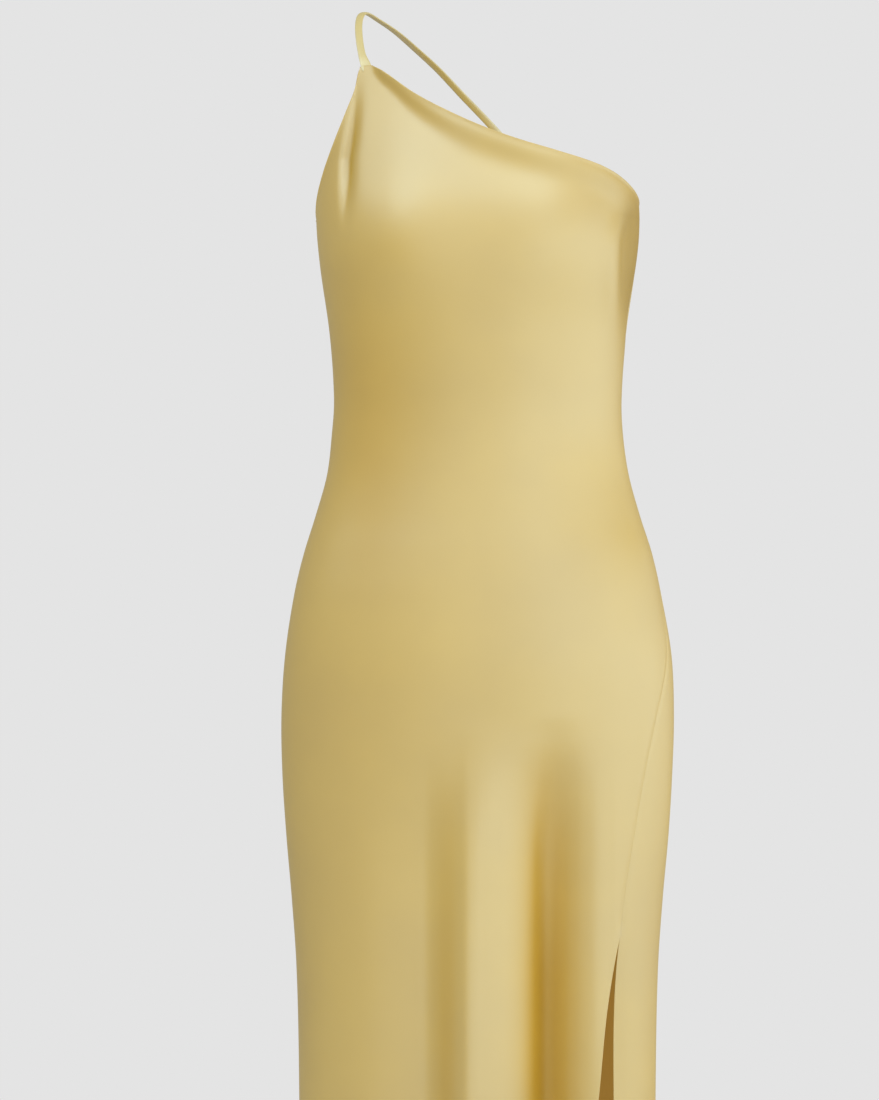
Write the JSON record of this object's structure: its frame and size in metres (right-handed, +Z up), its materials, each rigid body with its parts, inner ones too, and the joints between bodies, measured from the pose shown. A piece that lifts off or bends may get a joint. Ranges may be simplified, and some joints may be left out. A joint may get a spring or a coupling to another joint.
{
  "type": "satin dress",
  "caption": "Long asymmetric satin slip dress with a thin shoulder strap and a side slit, hollow and filled out as when worn.",
  "frame": {"origin": "under the top of the strap, where the wearer's shoulder holds the dress", "axes": "+Z up; the front faces -Y; +X runs from the strap's shoulder to the other side"},
  "size_m": [0.3924, 0.2584, 1.3824],
  "materials": {
    "satin": "soft lustrous champagne satin"
  },
  "bodies": {
    "root": {"front": "satin", "back": "satin", "strap": "satin"}
  },
  "joints": []
}
